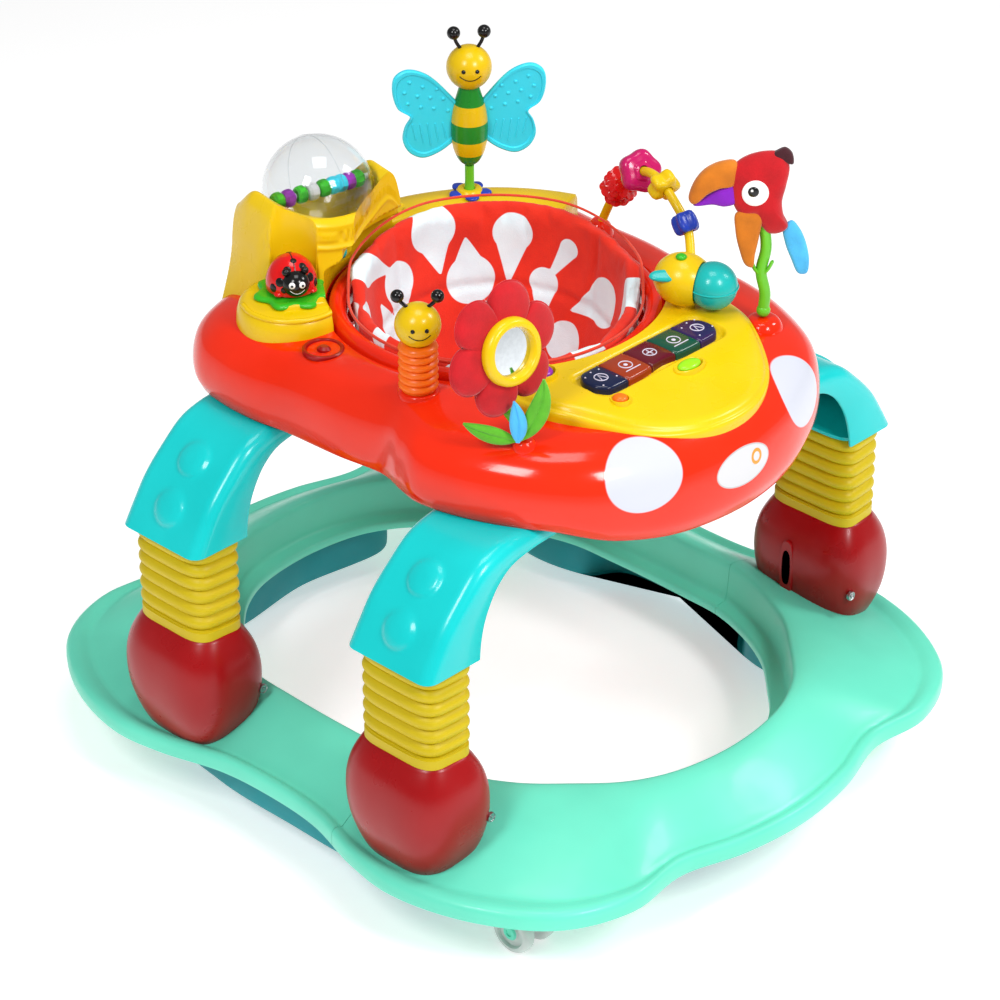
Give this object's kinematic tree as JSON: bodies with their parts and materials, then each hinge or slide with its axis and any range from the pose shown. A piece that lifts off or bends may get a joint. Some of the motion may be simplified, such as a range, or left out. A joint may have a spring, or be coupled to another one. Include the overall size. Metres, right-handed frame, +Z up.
{
  "type": "baby walker",
  "caption": "Bouncing baby walker: wavy floor ring on castors, four sprung legs, a padded swivel seat and a toy tray.",
  "frame": {"origin": "on the floor, under the middle of the whole object's box", "axes": "+Z up, -Y the front, +X the child's left"},
  "size_m": [0.6532, 0.74, 0.632],
  "materials": {
    "mint_plastic": "satin moulded",
    "teal_rubber": "matte",
    "red_plastic": "high gloss moulded",
    "dark_red_plastic": "gloss moulded",
    "yellow_plastic": "gloss moulded",
    "bellows_plastic": "soft, satin",
    "turquoise_plastic": "high gloss moulded",
    "grey_plastic": "satin",
    "spring_steel": "bright wire",
    "seat_cloth": "padded woven cloth",
    "clear_plastic": "clear moulded plastic",
    "bead_plastic": "gloss",
    "green_plastic": "gloss moulded",
    "orange_plastic": "satin moulded",
    "sky_plastic": "satin moulded",
    "red_plush": "short pile plush",
    "mirror_film": "polished",
    "key_navy": "satin",
    "key_orange": "satin",
    "key_maroon": "satin",
    "key_green": "satin",
    "key_violet": "satin",
    "purple_plastic": "gloss",
    "magenta_plastic": "gloss",
    "white_plastic": "satin, prints, eyes and piping",
    "black_plastic": "gloss, eyes and spots",
    "lime_plastic": "gloss"
  },
  "bodies": {
    "base": {"floor_ring_front": "mint_plastic", "floor_ring_rear": "mint_plastic", "stop_pad_left": "teal_rubber", "stop_pad_right": "teal_rubber", "stop_pad_rear": "teal_rubber", "stop_pad_front": "teal_rubber", "foot_rear_right": "dark_red_plastic", "foot_front_right": "dark_red_plastic", "foot_front_left": "dark_red_plastic", "foot_rear_left": "dark_red_plastic", "bellows_rear_right": "bellows_plastic", "bellows_front_right": "bellows_plastic", "bellows_front_left": "bellows_plastic", "bellows_rear_left": "bellows_plastic", "leg_spring_rear_right": "spring_steel", "leg_spring_front_right": "spring_steel", "leg_spring_front_left": "spring_steel", "leg_spring_rear_left": "spring_steel"},
    "tray": {"tray_shell": "red_plastic", "tray_frame": "red_plastic", "arch_rear_right": "turquoise_plastic", "arch_front_right": "turquoise_plastic", "arch_front_left": "turquoise_plastic", "arch_rear_left": "turquoise_plastic", "toy_deck": "yellow_plastic", "ladybug_leaf": "green_plastic", "butterfly_stem": "green_plastic", "flower_leaves": "green_plastic", "music_panel": "yellow_plastic", "bead_arc": "yellow_plastic", "plane_body": "yellow_plastic"},
    "seat": {"seat_ring": "red_plastic", "seat_fabric": "seat_cloth"},
    "spin_ball": {"clear_ball": "clear_plastic", "bead_axle": "bead_plastic"},
    "ladybug": {"ladybug": "red_plastic"},
    "butterfly": {"butterfly": "sky_plastic"},
    "worm": {"worm": "orange_plastic"},
    "flower": {"flower_petals": "red_plush", "mirror_frame": "mirror_film"},
    "parrot": {"parrot": "red_plush"},
    "key_navy": {"key_navy": "key_navy"},
    "key_orange": {"key_orange": "key_orange"},
    "key_maroon": {"key_maroon": "key_maroon"},
    "key_green": {"key_green": "key_green"},
    "key_violet": {"key_violet": "key_violet"},
    "button_purple": {"button_purple": "purple_plastic"},
    "button_orange": {"button_orange": "orange_plastic"},
    "button_lime": {"button_lime": "lime_plastic"},
    "bead_red": {"bead_red": "red_plastic"},
    "bead_magenta": {"bead_magenta": "magenta_plastic"},
    "plane_ball": {"plane_ball": "teal_rubber"},
    "castor_front_left": {"castor_fork_front_left": "grey_plastic"},
    "wheels_front_left": {"castor_wheels_front_left": "grey_plastic"},
    "castor_front_right": {"castor_fork_front_right": "grey_plastic"},
    "wheels_front_right": {"castor_wheels_front_right": "grey_plastic"},
    "castor_rear_left": {"castor_fork_rear_left": "grey_plastic"},
    "wheels_rear_left": {"castor_wheels_rear_left": "grey_plastic"},
    "castor_rear_right": {"castor_fork_rear_right": "grey_plastic"},
    "wheels_rear_right": {"castor_wheels_rear_right": "grey_plastic"}
  },
  "joints": [
    {"name": "tray_bounce", "type": "slide", "parent": "base", "child": "tray", "axis": [0, 0, 1], "range_m": [-0.025, 0], "stiffness_N_per_m": 4000, "springref_m": 0.012, "deforming": ["bellows_rear_right", "bellows_front_right", "bellows_front_left", "bellows_rear_left", "leg_spring_rear_right", "leg_spring_front_right", "leg_spring_front_left", "leg_spring_rear_left"]},
    {"name": "seat_swivel", "type": "hinge", "parent": "tray", "child": "seat", "pos_m": [0, 0.008, 0.428], "axis": [0, 0, 1], "continuous": true},
    {"name": "castor_swivel_front_left", "type": "hinge", "parent": "base", "child": "castor_front_left", "pos_m": [0.241, -0.247, 0.05], "axis": [0, 0, 1], "continuous": true},
    {"name": "wheel_spin_front_left", "type": "hinge", "parent": "castor_front_left", "child": "wheels_front_left", "pos_m": [0.241, -0.257, 0.021], "axis": [1, 0, 0], "continuous": true},
    {"name": "castor_swivel_front_right", "type": "hinge", "parent": "base", "child": "castor_front_right", "pos_m": [-0.241, -0.247, 0.05], "axis": [0, 0, 1], "continuous": true},
    {"name": "wheel_spin_front_right", "type": "hinge", "parent": "castor_front_right", "child": "wheels_front_right", "pos_m": [-0.241, -0.257, 0.021], "axis": [1, 0, 0], "continuous": true},
    {"name": "castor_swivel_rear_left", "type": "hinge", "parent": "base", "child": "castor_rear_left", "pos_m": [0.241, 0.247, 0.05], "axis": [0, 0, 1], "continuous": true},
    {"name": "wheel_spin_rear_left", "type": "hinge", "parent": "castor_rear_left", "child": "wheels_rear_left", "pos_m": [0.241, 0.237, 0.021], "axis": [1, 0, 0], "continuous": true},
    {"name": "castor_swivel_rear_right", "type": "hinge", "parent": "base", "child": "castor_rear_right", "pos_m": [-0.241, 0.247, 0.05], "axis": [0, 0, 1], "continuous": true},
    {"name": "wheel_spin_rear_right", "type": "hinge", "parent": "castor_rear_right", "child": "wheels_rear_right", "pos_m": [-0.241, 0.237, 0.021], "axis": [1, 0, 0], "continuous": true},
    {"name": "ball_spin", "type": "hinge", "parent": "tray", "child": "spin_ball", "pos_m": [-0.058, 0.174, 0.516], "axis": [0.9781, -0.2079, 0], "continuous": true},
    {"name": "ladybug_turn", "type": "hinge", "parent": "tray", "child": "ladybug", "pos_m": [-0.138, 0.125, 0.465], "axis": [0, 0, 1], "continuous": true},
    {"name": "butterfly_turn", "type": "hinge", "parent": "tray", "child": "butterfly", "pos_m": [0.111, 0.148, 0.4918], "axis": [0, 0, 1], "continuous": true},
    {"name": "worm_turn", "type": "hinge", "parent": "tray", "child": "worm", "pos_m": [-0.163, -0.057, 0.4426], "axis": [0, 0, 1], "continuous": true},
    {"name": "flower_nod", "type": "hinge", "parent": "tray", "child": "flower", "pos_m": [-0.17, -0.169, 0.473], "axis": [0.8988, -0.4384, 0], "range_deg": [-12, 12], "stiffness_Nm_per_rad": 0.6},
    {"name": "parrot_sway", "type": "hinge", "parent": "tray", "child": "parrot", "pos_m": [0.134, -0.19, 0.4533], "axis": [0.7193, 0.6947, 0], "range_deg": [-12, 12], "stiffness_Nm_per_rad": 0.6},
    {"name": "key_navy_press", "type": "slide", "parent": "tray", "child": "key_navy", "axis": [0, 0, 1], "range_m": [-0.002, 0], "stiffness_N_per_m": 400, "springref_m": 0.001},
    {"name": "key_orange_press", "type": "slide", "parent": "tray", "child": "key_orange", "axis": [0, 0, 1], "range_m": [-0.002, 0], "stiffness_N_per_m": 400, "springref_m": 0.001},
    {"name": "key_maroon_press", "type": "slide", "parent": "tray", "child": "key_maroon", "axis": [0, 0, 1], "range_m": [-0.002, 0], "stiffness_N_per_m": 400, "springref_m": 0.001},
    {"name": "key_green_press", "type": "slide", "parent": "tray", "child": "key_green", "axis": [0, 0, 1], "range_m": [-0.002, 0], "stiffness_N_per_m": 400, "springref_m": 0.001},
    {"name": "key_violet_press", "type": "slide", "parent": "tray", "child": "key_violet", "axis": [0, 0, 1], "range_m": [-0.002, 0], "stiffness_N_per_m": 400, "springref_m": 0.001},
    {"name": "button_purple_press", "type": "slide", "parent": "tray", "child": "button_purple", "axis": [0, 0, 1], "range_m": [-0.002, 0], "stiffness_N_per_m": 300, "springref_m": 0.001},
    {"name": "button_orange_press", "type": "slide", "parent": "tray", "child": "button_orange", "axis": [0, 0, 1], "range_m": [-0.002, 0], "stiffness_N_per_m": 300, "springref_m": 0.001},
    {"name": "button_lime_press", "type": "slide", "parent": "tray", "child": "button_lime", "axis": [0, 0, 1], "range_m": [-0.002, 0], "stiffness_N_per_m": 300, "springref_m": 0.001},
    {"name": "bead_red_spin", "type": "hinge", "parent": "tray", "child": "bead_red", "pos_m": [0.15811, 0.00234, 0.50159], "axis": [-0.1971, -0.6255, 0.755], "continuous": true},
    {"name": "bead_magenta_spin", "type": "hinge", "parent": "tray", "child": "bead_magenta", "pos_m": [0.1448, -0.03252, 0.53228], "axis": [-0.3139, -0.8387, 0.4451], "continuous": true},
    {"name": "plane_ball_spin", "type": "hinge", "parent": "tray", "child": "plane_ball", "pos_m": [0.099, -0.161, 0.48], "axis": [0, 0, 1], "continuous": true}
  ]
}
